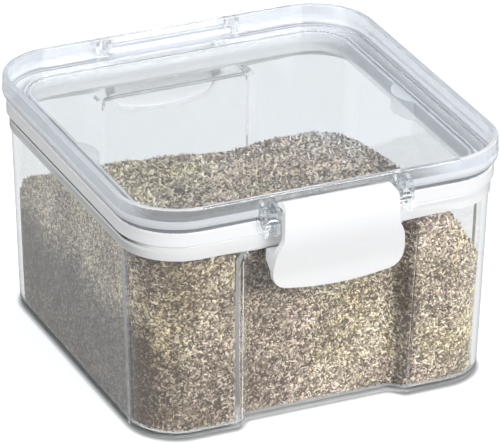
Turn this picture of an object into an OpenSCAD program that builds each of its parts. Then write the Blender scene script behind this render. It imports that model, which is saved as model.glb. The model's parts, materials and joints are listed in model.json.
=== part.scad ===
/* [Plan] */
// Half width of the lid
lid_half = 100; // [90:0.5:115]
// Half the distance between the centres of neighbouring corner arcs
corner_c = 67.5; // [55:0.5:75]

/* [Bin body] */
// How far the base is set in from the top of the wall
base_in = 3.4; // [0:0.1:6]
// Height of the underside of the flange
flange_z = 98.2; // [80:0.1:140]
// Height of the flange band
flange_h = 7.7; // [5:0.1:10]
// How far the flange is set in from the lid's skirt
flange_in = 1.5; // [1:0.1:2]
// How far the flange stands out from the wall
flange_out = 0.9; // [0.5:0.1:1.5]
// How far the neck is set back from the flange's edge
neck_back = 3.8; // [3.6:0.1:4.2]
// Height of the neck above the flange
neck_h = 3.6; // [2:0.1:4]
// Thickness of the clear walls
wall_t = 2.4; // [1.8:0.1:3]
// Thickness of the neck
neck_t = 2.3; // [1.8:0.1:2.6]
// Thickness of the floor
floor_t = 2; // [1.6:0.1:4]
// Radius of the outer edge round the base
base_edge_r = 2; // [1:0.1:5]
// Radius of the inside edge at the base
base_in_r = 3; // [2:0.5:8]

/* [Finger recesses] */
// Half width of the recess at the wall's face
recess_half = 47.5; // [38:0.5:55]
// Depth of the recess from the wall's top edge
recess_depth = 10.5; // [5:0.1:12]
// How much each side of the recess slants in towards its back
recess_slant = 8.5; // [5:0.5:12]
// Radius of the recess's top corners
recess_top_r = 13; // [6:0.5:16]
// Gap between the recess's top and the flange
recess_drop = 0.9; // [0.5:0.1:5]

/* [Lid] */
// Gap between the lid's skirt and the bin's flange
parting_gap = 0.4; // [0.3:0.1:1]
// Height of the skirt below the groove
skirt_h = 6.9; // [5:0.1:9]
// How far the skirt is set in from the lid's side
skirt_in = 1.7; // [1.2:0.1:2.2]
// Thickness of the skirt
skirt_t = 1.6; // [1.2:0.1:2]
// Height of the groove round the lid
groove_h = 2.8; // [1.5:0.1:4]
// Depth of the groove from the lid's side
groove_d = 2.6; // [2:0.1:3]
// Height of the rim above the groove
rim_h = 10.5; // [8:0.1:14]
// Height of the rounded shoulder at the foot of the rim
shoulder_h = 4.7; // [3:0.1:6]
// How far the shoulder stands out from the rim
shoulder_out = 0.3; // [0:0.1:0.5]
// Thickness of the rim
rim_t = 3.2; // [2.5:0.1:3.6]
// Thickness of the lid's panel
panel_t = 2.1; // [1.5:0.1:3]
// Depth of the panel's top face below the rim
tray_d = 9.9; // [8:0.1:10.4]

/* [Gasket and plug] */
// Height of the gasket
gasket_h = 9.9; // [8:0.1:12]
// Thickness of the gasket's inner leg and foot
gasket_leg = 1.5; // [1:0.1:2]
// Thickness of the gasket's outer leg
gasket_out = 0.9; // [0.6:0.1:1.2]
// How far the gasket's ribs stand out
rib_out = 0.6; // [0.3:0.1:1]
// Thickness of the plug wall that the gasket wraps
plug_t = 1.4; // [1:0.1:1.6]
// Clearance between the gasket's ribs and the neck
seal_gap = 0.8; // [0.6:0.1:1.2]
// Height of one gasket rib
rib_h = 1.6; // [1:0.1:2]
// Half length of a pull tab on the gasket
tab_half = 12; // [6:0.5:16]
// How far a pull tab stands in from the gasket
tab_out = 5.5; // [3:0.5:7]

/* [Latch and hinge] */
// How far each pin's axis stands out from the lid's side
pin_out = 4.2; // [4:0.1:6]
// Depth of each pin's axis below the top of the rim
pin_drop = 11.4; // [10.5:0.1:12]
// Radius of the steel pins
pin_r = 1.1; // [0.8:0.05:1.3]
// Radial running clearance of a pin in the piece that turns on it
pin_fit = 0.06; // [0.02:0.01:0.1]
// Clearance beyond each end of a pin
pin_end = 0.3; // [0.2:0.1:0.6]
// Half width of the clip at its top
clip_top_half = 30.4; // [24:0.1:31]
// How much wider the front latch gets below, on each side
clip_flare = 4.2; // [1.5:0.1:6]
// Length of the clip below its pin
clip_drop = 38; // [30:0.5:42]
// Thickness of the clip's plate
clip_t = 2.2; // [1.8:0.1:3]
// How far the lip round the plate stands in behind it
clip_lip = 1.4; // [0.8:0.1:2]
// Width of the lip round the plate
clip_side = 1.8; // [1.2:0.1:2.5]
// Radius that the clip's top reaches about its pin
clip_cam_r = 8.3; // [7:0.1:8.6]
// Gap round the clip's top in its pocket
pocket_gap = 0.4; // [0.3:0.1:1]
// Radius of the bends in the plate's face
face_r = 50; // [20:1:80]
// Radius of the clip's foot, seen from the front
foot_r = 150; // [80:5:160]
// Length of the rear hinge clip below its pin
rear_drop = 36.3; // [33:0.1:38]
// Radius of its lower corners
rear_corner_r = 10; // [8:0.5:13]
// Radius of its foot
rear_foot_r = 100; // [80:5:105]
// Radius of the clip's lower corners
clip_corner_r = 8; // [4:0.5:12]
// Radius of the barrel that holds the pin
barrel_r = 3.3; // [2.6:0.1:3.6]
// Gap between the clip and the ears beside it
ear_gap = 0.4; // [0.3:0.1:1]
// Thickness of each web of an ear
ear_web = 2; // [1.5:0.1:3]
// Width of a whole ear
ear_w = 8.4; // [7:0.1:12]
// Distance from the pin's axis to the front of an ear
ear_reach = 3.5; // [3:0.1:4.2]
// Thickness of the hook's shelf
hook_t = 2.4; // [1.8:0.1:3]
// How far below the pin the gussets at the hook's ends reach
gusset_drop = 27.5; // [24:0.5:33]
// Clearance between the latch's hook and the flange's edge
hook_gap = 0.4; // [0.35:0.05:1]
// How far the hinge clip's hook reaches in under the flange
hook_grip = 0.8; // [0.5:0.1:0.8]

/* [Grain] */
// Height of the grain against the back wall
grain_back_z = 37; // [20:1:60]
// Height of the grain against the right wall
grain_right_z = 63; // [20:1:70]
// Height of the grain in the corner at the back and right
grain_corner_z = 39; // [20:1:60]
// Height of the heap's top
grain_top_z = 95.5; // [75:0.5:100]
// Slope of the heap towards the back wall, in degrees
grain_back_slope = 36; // [20:1:40]
// How far that slope is turned to face the right, in degrees
grain_back_turn = 5; // [0:1:10]
// Slope of the heap towards the right wall, in degrees
grain_right_slope = 43; // [20:1:45]
// Height of the highest mound on the heap's top
mound_h = 2.2; // [1:0.1:3]
// Gap between the grain and the walls
grain_gap = 0.3; // [0.1:0.1:1]

/* [Hidden] */
$fn = 96;
arc_steps = 4;    // straight steps in a rounded corner of a section; a long curve takes three times as many
eps = 0.01;

// Radii about the corner centres; a half width is corner_c plus one of these
lid_r = lid_half - corner_c;
skirt_r = lid_r - skirt_in;
groove_r = lid_r - groove_d;
flange_r = skirt_r - flange_in;
flange_half = flange_r + corner_c;
wall_r = flange_r - flange_out;
wall_half = wall_r + corner_c;
base_r = wall_r - base_in;
neck_r = flange_r - neck_back;
neck_in_r = neck_r - neck_t;
rib_r = neck_in_r - seal_gap;
leg_r = rib_r - rib_out;
plug_r = leg_r - gasket_out;
plug_in_r = plug_r - plug_t;
gasket_r = plug_in_r - gasket_leg;
gasket_half = gasket_r + corner_c;
recess_back = wall_half - recess_depth;
pin_y = lid_half + pin_out;

// Heights
flange_top = flange_z + flange_h;
neck_top = flange_top + neck_h;
skirt_z = flange_top + parting_gap;
groove_z = skirt_z + skirt_h;
shoulder_z = groove_z + groove_h;
rim_top = shoulder_z + rim_h;
panel_top = rim_top - tray_d;
panel_z = panel_top - panel_t;
gasket_z = panel_z - gasket_h;
plug_z = gasket_z + gasket_leg;
pin_z = rim_top - pin_drop;

// Ears and pocket
ear_in = clip_top_half + ear_gap;
ear_end = ear_in + ear_w;
ear_foot = skirt_z + 1;
ear_foot_v = ear_foot - pin_z;
ear_top = rim_top - 1.2;
pocket_r = clip_cam_r + pocket_gap;
pin_half = ear_end - ear_web / 2;

function unit(v) = v / norm(v);

// Points of the arc that rounds corner p between neighbours a and b
function round_corner(p, a, b, r) =
    let (n = r < 10 ? arc_steps : 3 * arc_steps,
         u = unit(a - p), w = unit(b - p),
         half = acos(u * w) / 2,
         c = p + unit(u + w) * r / sin(half),
         s = p + u * r / tan(half) - c,
         e = p + w * r / tan(half) - c,
         a0 = atan2(s[1], s[0]),
         turn = atan2(s[0] * e[1] - s[1] * e[0], s * e))
    [for (i = [0:n]) c + r * [cos(a0 + turn * i / n), sin(a0 + turn * i / n)]];

// Outline through corners given as [x, y, radius]
function rounded(path) =
    let (n = len(path), q = [for (p = path) [p[0], p[1]]])
    [for (i = [0:n - 1])
        each path[i][2] > 0 ? round_corner(q[i], q[(i + n - 1) % n], q[(i + 1) % n], path[i][2]) : [q[i]]];

// One section, drawn as [radius, z], carried round the rounded square
module ring(section) {
    for (k = [0:3]) rotate([0, 0, 90 * k]) {
        translate([corner_c, corner_c, 0]) rotate_extrude(angle = 90) polygon(section);
        translate([corner_c, 0, 0]) rotate([90, 0, 0])
            linear_extrude(2 * corner_c, center = true) polygon(section);
    }
}

// A ring whose section reaches the corner centres, with the middle filled from z0 to z1
module tray(section, z0, z1) {
    ring(section);
    translate([-corner_c - eps, -corner_c - eps, z0])
        cube([2 * (corner_c + eps), 2 * (corner_c + eps), z1 - z0]);
}

// ---- Bin body ----

// Section of the bin's outside
outer_section = rounded([
    [0, 0, 0],
    [base_r, 0, base_edge_r],
    [wall_r, flange_z, 0],
    [flange_r, flange_z, 0.3],
    [flange_r, flange_top, 1.2],
    [neck_r, flange_top, 0],
    [neck_r, neck_top, 0.8],
    [0, neck_top, 0]]);

// Section of the space inside walls of thickness t, above z0 and below z1
function inner_section(t, z0, z1) =
    let (step = wall_r - t - neck_in_r)
    rounded([
        [0, z0, 0],
        [base_r - t, z0, base_in_r],
        [wall_r - t, flange_top - wall_t - step, 2],
        [neck_in_r, flange_top - wall_t, 1.5],
        [neck_in_r, z1, 0],
        [0, z1, 0]]);

// Arched recess in the front wall, grown by g on its sides, back and top
module recess(g) {
    face = wall_half + 1;
    depth = face - recess_back;
    side = recess_half + g * 1.2;
    slant = recess_slant * depth / (wall_half - recess_back);
    intersection() {
        translate([0, 0, -1]) linear_extrude(flange_z + 1 + g) polygon(rounded([
            [-side - 6, -face - 6, 0], [-side - 6, -face, 0], [-side - 1, -face, 2],
            [-side + slant, -recess_back + g, 4], [side - slant, -recess_back + g, 4],
            [side + 1, -face, 2], [side + 6, -face, 0], [side + 6, -face - 6, 0]]));
        translate([0, -recess_back + g, 0]) rotate([90, 0, 0]) linear_extrude(2 * face) polygon(rounded([
            [-side, -1, 0], [-side, flange_z - recess_drop + g, recess_top_r + g],
            [side, flange_z - recess_drop + g, recess_top_r + g], [side, -1, 0]]));
    }
}

module both_recesses(g) {
    recess(g);
    rotate([0, 0, 180]) recess(g);
}

// Space inside the bin, less what the recesses push in
module cavity() {
    difference() {
        tray(inner_section(wall_t, floor_t, neck_top + 1), floor_t, neck_top + 1);
        both_recesses(wall_t);
    }
}

module bin_body() {
    color([0.86, 0.9, 0.92, 0.35]) difference() {
        tray(outer_section, 0, neck_top);
        both_recesses(0);
        cavity();
    }
}

// ---- Lid ----

lid_section = rounded([
    [0, panel_z, 0],
    [plug_in_r, panel_z, 0],
    [plug_in_r, plug_z, 0.3],
    [plug_r, plug_z, 0.3],
    [plug_r, panel_z, 0],
    [skirt_r - skirt_t, panel_z, 2],
    [skirt_r - skirt_t, skirt_z, 0.4],
    [skirt_r, skirt_z, 0.5],
    [skirt_r, groove_z, 0.5],
    [groove_r, groove_z, 0.4],
    [groove_r, shoulder_z, 0.6],
    [lid_r + shoulder_out - 0.6, shoulder_z, 1.2],
    [lid_r + shoulder_out, shoulder_z + shoulder_h / 2, 2],
    [lid_r, shoulder_z + shoulder_h, 1.5],
    [lid_r, rim_top, 1],
    [lid_r - rim_t, rim_top, 1],
    [lid_r - rim_t, panel_top, 1.2],
    [0, panel_top, 0]]);

// One ear beside a clip: two webs and a boss round the pin
module ear() {
    wall_y = skirt_r + corner_c - skirt_t;
    out_y = pin_y + ear_reach;
    profile = rounded([
        [-wall_y, ear_foot, 0], [-out_y + 2, ear_foot, 1], [-out_y, ear_foot + 2.5, 1],
        [-out_y, rim_top - 5, 3.2], [-lid_half, ear_top, 0], [-wall_y, ear_top, 0]]);
    for (x = [ear_in, ear_end - ear_web])
        translate([x, 0, 0]) rotate([90, 0, 90]) linear_extrude(ear_web) polygon(profile);
    translate([ear_in, -pin_y, pin_z]) rotate([0, 90, 0]) cylinder(r = ear_reach, h = ear_w);
    translate([ear_in, -pin_y, pin_z - 1]) cube([ear_w, pin_y - wall_y, 2]);
}

// Everything that the lid gains at one clip, front side
module clip_seat() {
    for (m = [0, 1]) mirror([m, 0, 0]) ear();
    intersection() {
        round_across(ear_in + ear_web, pocket_r + skirt_t);
        translate([-ear_end, -lid_half, panel_z]) cube([2 * ear_end, rim_t * 3, ear_top - panel_z]);
    }
}

// Pocket for the clip and the bore for its pin, front side
module clip_pocket(bore_r) {
    round_across(ear_in, pocket_r);
    translate([-ear_in, -pin_y - pocket_r, skirt_z - 1]) cube([2 * ear_in, 2 * pocket_r, pin_z - skirt_z + 1]);
    round_across(pin_half + pin_end, bore_r);
}

module lid() {
    color([0.86, 0.9, 0.93, 0.3]) difference() {
        union() {
            tray(lid_section, panel_z, panel_top);
            for (a = [0, 180]) rotate([0, 0, a]) clip_seat();
        }
        clip_pocket(pin_r);
        rotate([0, 0, 180]) clip_pocket(pin_r + pin_fit);
    }
}

// ---- Gasket ----

module gasket() {
    rib_gap = (gasket_h - gasket_leg - 3 * rib_h) / 3;
    section = concat(
        [[plug_r, plug_z], [plug_r, panel_z], [leg_r, panel_z]],
        [for (i = [0:2]) let (z = panel_z - rib_gap / 2 - i * (rib_h + rib_gap))
            each [[leg_r, z], [rib_r, z - rib_h / 2], [leg_r, z - rib_h]]],
        [[leg_r, gasket_z], [gasket_r, gasket_z], [gasket_r, panel_z], [plug_in_r, panel_z], [plug_in_r, plug_z]]);
    tab_r = (tab_half * tab_half + tab_out * tab_out) / (2 * tab_out);
    color([0.93, 0.94, 0.95, 0.9]) {
        ring(section);
        for (a = [0, 180]) rotate([0, 0, a]) intersection() {
            translate([gasket_half - tab_out + tab_r, 0, gasket_z]) cylinder(r = tab_r, h = gasket_h);
            translate([gasket_half - tab_out, -tab_half, gasket_z])
                cube([tab_out + gasket_leg / 2, 2 * tab_half, gasket_h]);
        }
    }
}

// ---- Clip: the front latch and the rear hinge clip ----

// The plate's outer face as [distance out from the pin, height above the pin]
face_top = clip_cam_r * [cos(45), sin(45)];
face_bulge = [7.3, -6];
face_low = [2.6, -29];
face_end = [1.9, -max(clip_drop, rear_drop) - 1];
clip_face = [face_top, each round_corner(face_bulge, face_top, face_low, face_r),
             each round_corner(face_low, face_bulge, face_end, face_r), face_end];

// A section drawn as [distance out, height] about the pin, carried across the clip
module across(half, section) {
    translate([-half, -pin_y, pin_z]) rotate([90, 0, 90])
        linear_extrude(2 * half) polygon([for (p = section) [-p[0], p[1]]]);
}

module round_across(half, r) {
    translate([-half, -pin_y, pin_z]) rotate([0, 90, 0]) cylinder(r = r, h = 2 * half);
}

// Right half of the plate's front outline, smaller by g; shape is [flare, drop, corner radius, foot radius]
function clip_side_line(g, shape) =
    let (top = clip_top_half - g, low = top + shape[0], foot = g - shape[1])
    concat(
        [[top - 3, clip_cam_r + 1, 0], [top - 0.6, 5.5, 5], [top, ear_foot_v - 1.8, 5]],
        shape[0] > 0 ? [[low - 1, 0.42 * foot, 20], [low, 0.66 * foot, 4]] : [],
        [[low - 0.24 * shape[0], foot + 3.4, shape[2] - g]]);

// Front view of the plate as a block through it
module clip_block(g, shape) {
    half = clip_side_line(g, shape);
    deep = 2 * clip_cam_r;
    translate([0, -pin_y + deep, pin_z]) rotate([90, 0, 0]) linear_extrude(2 * deep) polygon(rounded(concat(
        half, [[0, g - shape[1] - 2, shape[3]]],
        [for (i = [len(half) - 1:-1:0]) [-half[i][0], half[i][1], half[i][2]]])));
}

// Middle of the plate's thickness at height v
function plate_mid(v) = lookup(v, [for (p = clip_face) [p[1], p[0]]]) - clip_t / 2;

// Plate between two depths behind its outer face
function plate_section(d0, d1, n0) =
    let (n = len(clip_face) - 1)
    concat([for (i = [n0:n]) clip_face[i] - [d0, 0]], [for (i = [n:-1:n0]) clip_face[i] - [d1, 0]]);

// Clip on the front side; its hook goes reach in from the pin, with its top at height top_v from the pin
module clip(reach, top_v, bore_r, shape) {
    wide = clip_top_half + shape[0] + 1;
    difference() {
        intersection() {
            clip_block(0, shape);
            union() {
                difference() {
                    across(wide, plate_section(0, clip_t + clip_lip, 0));
                    intersection() {
                        clip_block(clip_side, shape);
                        across(wide, plate_section(clip_t, clip_t + 3, 1));
                    }
                }
                // Rolled top over the barrel
                difference() {
                    round_across(wide, clip_cam_r);
                    round_across(wide + 1, clip_cam_r - clip_t);
                    across(wide + 1, [[-12, -12], [12, -12], [12, 3], face_top, [-12, face_top[1]]]);
                }
                // Barrel and the web that joins it to the plate
                round_across(clip_top_half, barrel_r);
                across(clip_top_half, [[0, 1], [face_top[0] - 0.5, 1], [face_top[0] - 0.5, -1], [0, -1]]);
                // Hook, with a gusset at each end
                across(wide, rounded([
                    [plate_mid(top_v), top_v, 0], [-reach, top_v, 0.3], [-reach, top_v - hook_t, 1],
                    [plate_mid(top_v) - 4, top_v - hook_t - 0.6, 2],
                    [plate_mid(top_v - 2 * hook_t), top_v - 2 * hook_t, 0]]));
                difference() {
                    across(wide, rounded([
                        [plate_mid(top_v), top_v - 0.5, 0], [-reach, top_v - 0.5, 0],
                        [-reach + 0.5, top_v - 2 * hook_t, 2], [plate_mid(-gusset_drop), -gusset_drop, 0]]));
                    clip_block(clip_side, shape);
                }
            }
        }
        round_across(wide, bore_r);
    }
}

module front_latch() {
    color("white") clip(pin_y - flange_half - hook_gap, flange_z - hook_gap - pin_z, pin_r + pin_fit,
        [clip_flare, clip_drop, clip_corner_r, foot_r]);
}

module rear_hinge_clip() {
    color("white") rotate([0, 0, 180]) clip(pin_y - flange_half + hook_grip, flange_z - pin_z, pin_r,
        [0, rear_drop, rear_corner_r, rear_foot_r]);
}

module pin() {
    round_across(pin_half, pin_r);
}

module front_latch_pin() {
    color("silver") pin();
}

module rear_hinge_pin() {
    color("silver") rotate([0, 0, 180]) pin();
}

// ---- Grain ----

// Everything above a plane that stands at height z by the wall at +Y and rises inwards
module above(z, slope) {
    big = 4 * lid_half;
    translate([0, wall_half, z]) rotate([-slope, 0, 0]) translate([-big / 2, -big, 0]) cube([big, 2 * big, big]);
}

// Low mounds on the heap's top, each as [x, y, half width, share of the highest mound's height]
mounds = [[-54, 4, 30, 0.9], [36, -2, 28, 1], [-14, -50, 32, 0.75], [-64, -60, 24, 0.6], [34, -62, 24, 0.65]];

// Everything above the heap's top, with its mounds
module above_top() {
    difference() {
        above(grain_top_z, 0);
        for (m = mounds) let (h = m[3] * mound_h, r = (m[2] * m[2] + h * h) / (2 * h))
            translate([m[0], m[1], grain_top_z + h - r]) sphere(r);
    }
}

module grain_fill() {
    inner = wall_t + grain_gap;
    floor_z = floor_t + grain_gap;
    corner_out = corner_c * (sqrt(2) - 1);
    color([0.55, 0.48, 0.38]) difference() {
        tray(inner_section(inner, floor_z, neck_top), floor_z, neck_top);
        both_recesses(inner);
        above_top();
        rotate([0, 0, -grain_back_turn]) above(grain_back_z, grain_back_slope);
        rotate([0, 0, -90]) above(grain_right_z, grain_right_slope);
        rotate([0, 0, -45]) translate([0, corner_out, 0]) above(grain_corner_z, grain_back_slope);
    }
}

bin_body();
lid();
gasket();
front_latch();
front_latch_pin();
rear_hinge_clip();
rear_hinge_pin();
grain_fill();
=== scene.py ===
# %% [markdown]
# # A rice bin with a flip lid
# The hard parts of this bin (its clear body, its clear lid, the seal, the latch, the hinge clip and
# the two steel pins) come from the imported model, so they are already the right size and in the right
# place. This lesson gives them their finishes, fills the bin with loose milled grain, and sets up a
# plain studio with a camera. Lengths are in metres.

# %% Start
import json
import math
import bpy
from mathutils import Matrix, Vector

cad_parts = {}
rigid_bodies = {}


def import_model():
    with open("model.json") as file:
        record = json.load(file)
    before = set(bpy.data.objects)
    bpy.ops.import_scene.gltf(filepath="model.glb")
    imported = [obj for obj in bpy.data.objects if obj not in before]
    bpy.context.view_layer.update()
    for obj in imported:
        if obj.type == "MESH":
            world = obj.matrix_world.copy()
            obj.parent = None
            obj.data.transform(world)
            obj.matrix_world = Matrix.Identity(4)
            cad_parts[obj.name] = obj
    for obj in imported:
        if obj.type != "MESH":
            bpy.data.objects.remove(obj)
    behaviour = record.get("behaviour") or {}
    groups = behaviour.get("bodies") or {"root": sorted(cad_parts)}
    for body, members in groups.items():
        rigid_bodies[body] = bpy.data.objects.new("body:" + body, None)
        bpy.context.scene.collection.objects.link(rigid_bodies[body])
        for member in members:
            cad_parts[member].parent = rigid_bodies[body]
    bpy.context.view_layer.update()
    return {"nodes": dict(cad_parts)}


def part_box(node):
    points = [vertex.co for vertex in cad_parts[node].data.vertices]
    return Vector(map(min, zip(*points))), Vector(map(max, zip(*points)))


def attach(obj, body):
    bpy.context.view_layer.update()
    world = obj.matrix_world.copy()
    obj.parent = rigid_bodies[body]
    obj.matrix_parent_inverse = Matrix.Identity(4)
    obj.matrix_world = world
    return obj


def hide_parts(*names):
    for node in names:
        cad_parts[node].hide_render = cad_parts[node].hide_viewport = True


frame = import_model()
scene = bpy.context.scene
print("nodes:", sorted(frame["nodes"]))

# %% [markdown]
# ## The camera
# The bin is seen from its front left, from a little above, through a long lens far away. A long lens
# keeps the lid's edges nearly parallel. Its focal length and the centre of the view are given in
# pixels of the picture, and the camera wants millimetres and shares of the picture's width. Turn and
# rise say where the camera stands round the bin, and roll how far it leans.

# %% Camera
PICTURE_WIDTH, PICTURE_HEIGHT = 500, 443
FOCAL_PIXELS = 4922.6
CENTRE_ACROSS, CENTRE_DOWN = 246.35, 223.57
TURN, RISE, ROLL = math.radians(-24.423), math.radians(26.319), math.radians(0.51)
DISTANCE = 2.4444
LOOK_AT = Vector((0, 0, 0.06))

back = Vector((math.sin(TURN) * math.cos(RISE), -math.cos(TURN) * math.cos(RISE), math.sin(RISE)))
level = Vector((math.cos(TURN), math.sin(TURN), 0))
upright = back.cross(level)
across = level * math.cos(ROLL) + upright * math.sin(ROLL)
along = upright * math.cos(ROLL) - level * math.sin(ROLL)
facing = Matrix((across, along, back)).transposed().to_4x4()

bpy.ops.object.camera_add()
camera = bpy.context.object
camera.name = "studio_camera"
camera.matrix_world = Matrix.Translation(LOOK_AT + back * DISTANCE) @ facing
camera.data.lens = FOCAL_PIXELS / PICTURE_WIDTH * camera.data.sensor_width
camera.data.shift_x = (PICTURE_WIDTH / 2 - CENTRE_ACROSS) / PICTURE_WIDTH
camera.data.shift_y = (CENTRE_DOWN - PICTURE_HEIGHT / 2) / PICTURE_WIDTH
scene.camera = camera
print("lens", round(camera.data.lens, 1), "mm")
print("shift", round(camera.data.shift_x, 4), round(camera.data.shift_y, 4))

# %% [markdown]
# ## Helpers for materials
# A material is a tree of nodes, and each node works something out from what is fed to it. Here a
# node's inputs are given as it is added: each is a plain value, or the output of a node that was
# added before. So a material is read from the pattern in its first lines to the shader in its last.

# %% Helpers for nodes
def feed(tree, socket, value):
    """Feed a socket with another node's output, or with a plain number, vector or colour."""
    if isinstance(value, bpy.types.NodeSocket):
        tree.links.new(value, socket)
    else:
        socket.default_value = value


def add(tree, kind, inputs=None, **settings):
    """Add a node with these settings. inputs says what feeds its sockets, by name or by number."""
    node = tree.nodes.new(kind)
    for name, value in settings.items():
        setattr(node, name, value)
    for socket, value in (inputs or {}).items():
        feed(tree, node.inputs[socket], value)
    return node


# %% Helpers for materials and groups
def new_material(name):
    """A material with an empty node tree."""
    material = bpy.data.materials.new(name)
    material.use_nodes = True
    material.node_tree.nodes.clear()
    return material, material.node_tree


def show(tree, shader):
    """Let this shader be what the material shows."""
    add(tree, "ShaderNodeOutputMaterial", {"Surface": shader})


def new_group(name, inputs, outputs):
    """A node group with these inputs (name, kind, default) and outputs (name, kind). It comes with
    what is fed to it, and with the sockets that it gives its results to."""
    group = bpy.data.node_groups.new(name, "ShaderNodeTree")
    for label, kind, default in inputs:
        socket = group.interface.new_socket(label, in_out="INPUT", socket_type="NodeSocket" + kind)
        if default is not None:
            socket.default_value = default
    for label, kind in outputs:
        group.interface.new_socket(label, in_out="OUTPUT", socket_type="NodeSocket" + kind)
    given = group.nodes.new("NodeGroupInput").outputs
    results = group.nodes.new("NodeGroupOutput").inputs
    return group, given, results


# %% [markdown]
# ## The wear of moulded plastic
# A moulded wall is never quite even. It has a soft orange-peel swell where the plastic shrank as it
# cooled, and fine rubbed marks from handling. The clear body, the lid, the seal and the white latch
# all show both, each by another amount, so the effect is one group with its own numbers in each
# material. It gives out a roughness and a height for a Bump node. The pins' drawn steel uses it too,
# stretched along the wire.

# %% Helpers for patterns
def noise(tree, place, scale, **more):
    """A soft random pattern. A higher scale makes it finer."""
    return add(tree, "ShaderNodeTexNoise", {"Vector": place, "Scale": scale, **more}).outputs["Fac"]


def maths(tree, operation, *values, **settings):
    """Work one number out from these values."""
    node = add(tree, "ShaderNodeMath", dict(enumerate(values)), operation=operation, **settings)
    return node.outputs["Value"]


def fade(tree, value, begins, ends, low=0.0, high=1.0, **settings):
    """low until the value reaches begins, high once it reaches ends, and a change in between."""
    limits = {"Value": value, "From Min": begins, "From Max": ends, "To Min": low, "To Max": high}
    return add(tree, "ShaderNodeMapRange", limits, **settings).outputs["Result"]


# %% Group: moulded surface
MARKED = (0.50, 0.72)       # the surface is rubbed where the marks' noise passes the first number, and
                            # fully so from the second
MARK_HEIGHT = 0.12          # as a share of the swell's height

moulded, given, results = new_group(
    "moulded surface",
    [("Vector", "Vector", None), ("Swell size", "Float", 60.0), ("Mark size", "Float", 900.0),
     ("Smooth", "Float", 0.02), ("Rubbed", "Float", 0.08)],
    [("Roughness", "Float"), ("Height", "Float")],
)
swell = noise(moulded, given["Vector"], given["Swell size"], Detail=2.0, Roughness=0.4)
marks = noise(moulded, given["Vector"], given["Mark size"], Detail=3.0, Roughness=0.6, Distortion=1.5)
rubbed_here = fade(moulded, marks, *MARKED)
roughness = fade(moulded, rubbed_here, 0.0, 1.0, given["Smooth"], given["Rubbed"])
feed(moulded, results["Roughness"], roughness)
feed(moulded, results["Height"], maths(moulded, "MULTIPLY_ADD", marks, MARK_HEIGHT, swell))
print("group:", moulded.name)


# %% Helper: a moulded shader
def place_on_piece(tree):
    """The place of each point on its own piece."""
    return add(tree, "ShaderNodeTexCoord").outputs["Object"]


def moulded_body(tree, look, sizes, gloss, relief=0.0, depth=0.0002, stretch=None):
    """A Principled shader with this look and a moulded surface. sizes are those of the swell and the
    marks, gloss the smooth and the rubbed roughness, relief and depth the strength and height of the
    bumps, and stretch how the pattern is drawn out."""
    place = place_on_piece(tree)
    if stretch:
        place = add(tree, "ShaderNodeMapping", {"Vector": place, "Scale": stretch}).outputs["Vector"]
    inputs = {"Vector": place, "Swell size": sizes[0], "Mark size": sizes[1],
              "Smooth": gloss[0], "Rubbed": gloss[1]}
    surface = add(tree, "ShaderNodeGroup", inputs, node_tree=moulded).outputs
    body = add(tree, "ShaderNodeBsdfPrincipled", {**look, "Roughness": surface["Roughness"]})
    if relief:
        bumps = {"Strength": relief, "Distance": depth, "Height": surface["Height"]}
        feed(tree, body.inputs["Normal"], add(tree, "ShaderNodeBump", bumps).outputs["Normal"])
    return body


# %% [markdown]
# ## Clear plastic
# The body and the lid are clear, stiff plastic. It is a Principled shader with full transmission.
# Real glass in a path tracer blocks the lamps, because a shadow ray can't bend. So a Light Path node
# swaps in a Transparent shader for shadow rays only, and the lamps reach the grain inside. The same
# is done for a ray that has already crossed many walls: light trapped inside a wall would otherwise
# end as a black streak. Where the plastic is thick or frosted, less light goes straight through it,
# and its surface is rougher.

# %% Helper: let the lamps through
LONGEST_BOUNCE = 8


def mix_shaders(tree, share, first, second):
    """The first shader, with this share of the second one."""
    return add(tree, "ShaderNodeMixShader", {"Fac": share, 1: first, 2: second}).outputs["Shader"]


def let_lamps_through(tree, body, shade):
    """For shadow rays, and for rays past their longest bounce, body gives way to plain see-through.
    shade is what a lamp's light keeps at each wall."""
    rays = add(tree, "ShaderNodeLightPath").outputs
    tired = maths(tree, "GREATER_THAN", rays["Ray Depth"], LONGEST_BOUNCE)
    either = maths(tree, "MAXIMUM", rays["Is Shadow Ray"], tired)
    through = add(tree, "ShaderNodeBsdfTransparent", {"Color": shade})
    return mix_shaders(tree, either, body.outputs["BSDF"], through.outputs["BSDF"])


# %% Materials: clear and milky plastic
PLASTIC_IOR = 1.5
WALL_SIZES = (45.0, 700.0)      # of the swell and the marks on the clear walls

# The tint, what a lamp's light keeps at each wall, how clear it is, smooth, rubbed and relief. The
# rim, its edge and the flange have this tint in front only, with painted light and shade along the
# sides and the rear. The rim's grey in front is painted shade, and the edge's white in front is a
# painted highlight.
PLASTICS = {
    "clear_body": ((0.985, 0.990, 0.990, 1), (0.95, 0.955, 0.96, 1), 1.0, 0.004, 0.025, 0.04),
    "clear_lid": ((0.932, 0.953, 0.972, 1), (0.94, 0.95, 0.96, 1), 1.0, 0.006, 0.035, 0.05),
    "ring_rim": ((0.500, 0.515, 0.525, 1), (0.88, 0.89, 0.92, 1), 0.72, 0.08, 0.12, 0.02),
    "ring_edge": ((1.000, 1.000, 1.000, 1), (0.88, 0.89, 0.92, 1), 0.5, 0.08, 0.14, 0.02),
    "shoulder": ((0.940, 0.955, 0.980, 1), (0.80, 0.81, 0.83, 1), 0.5, 0.08, 0.14, 0.02),
    "milky_band": ((0.990, 0.992, 0.995, 1), (0.62, 0.63, 0.64, 1), 0.2, 0.16, 0.26, 0.05),
    # The groove's dark grey is painted shade, and so is the line along the bottom of the bin's foot
    "smoky_groove": ((0.260, 0.280, 0.300, 1), (0.60, 0.60, 0.61, 1), 0.3, 0.16, 0.26, 0.02),
    "flange": ((0.990, 0.992, 0.995, 1), (0.62, 0.63, 0.64, 1), 0.2, 0.16, 0.26, 0.05),
    "frosted_base": ((0.970, 0.980, 0.980, 1), (0.90, 0.91, 0.91, 1), 0.4, 0.45, 0.55, 0.15),
}


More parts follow.
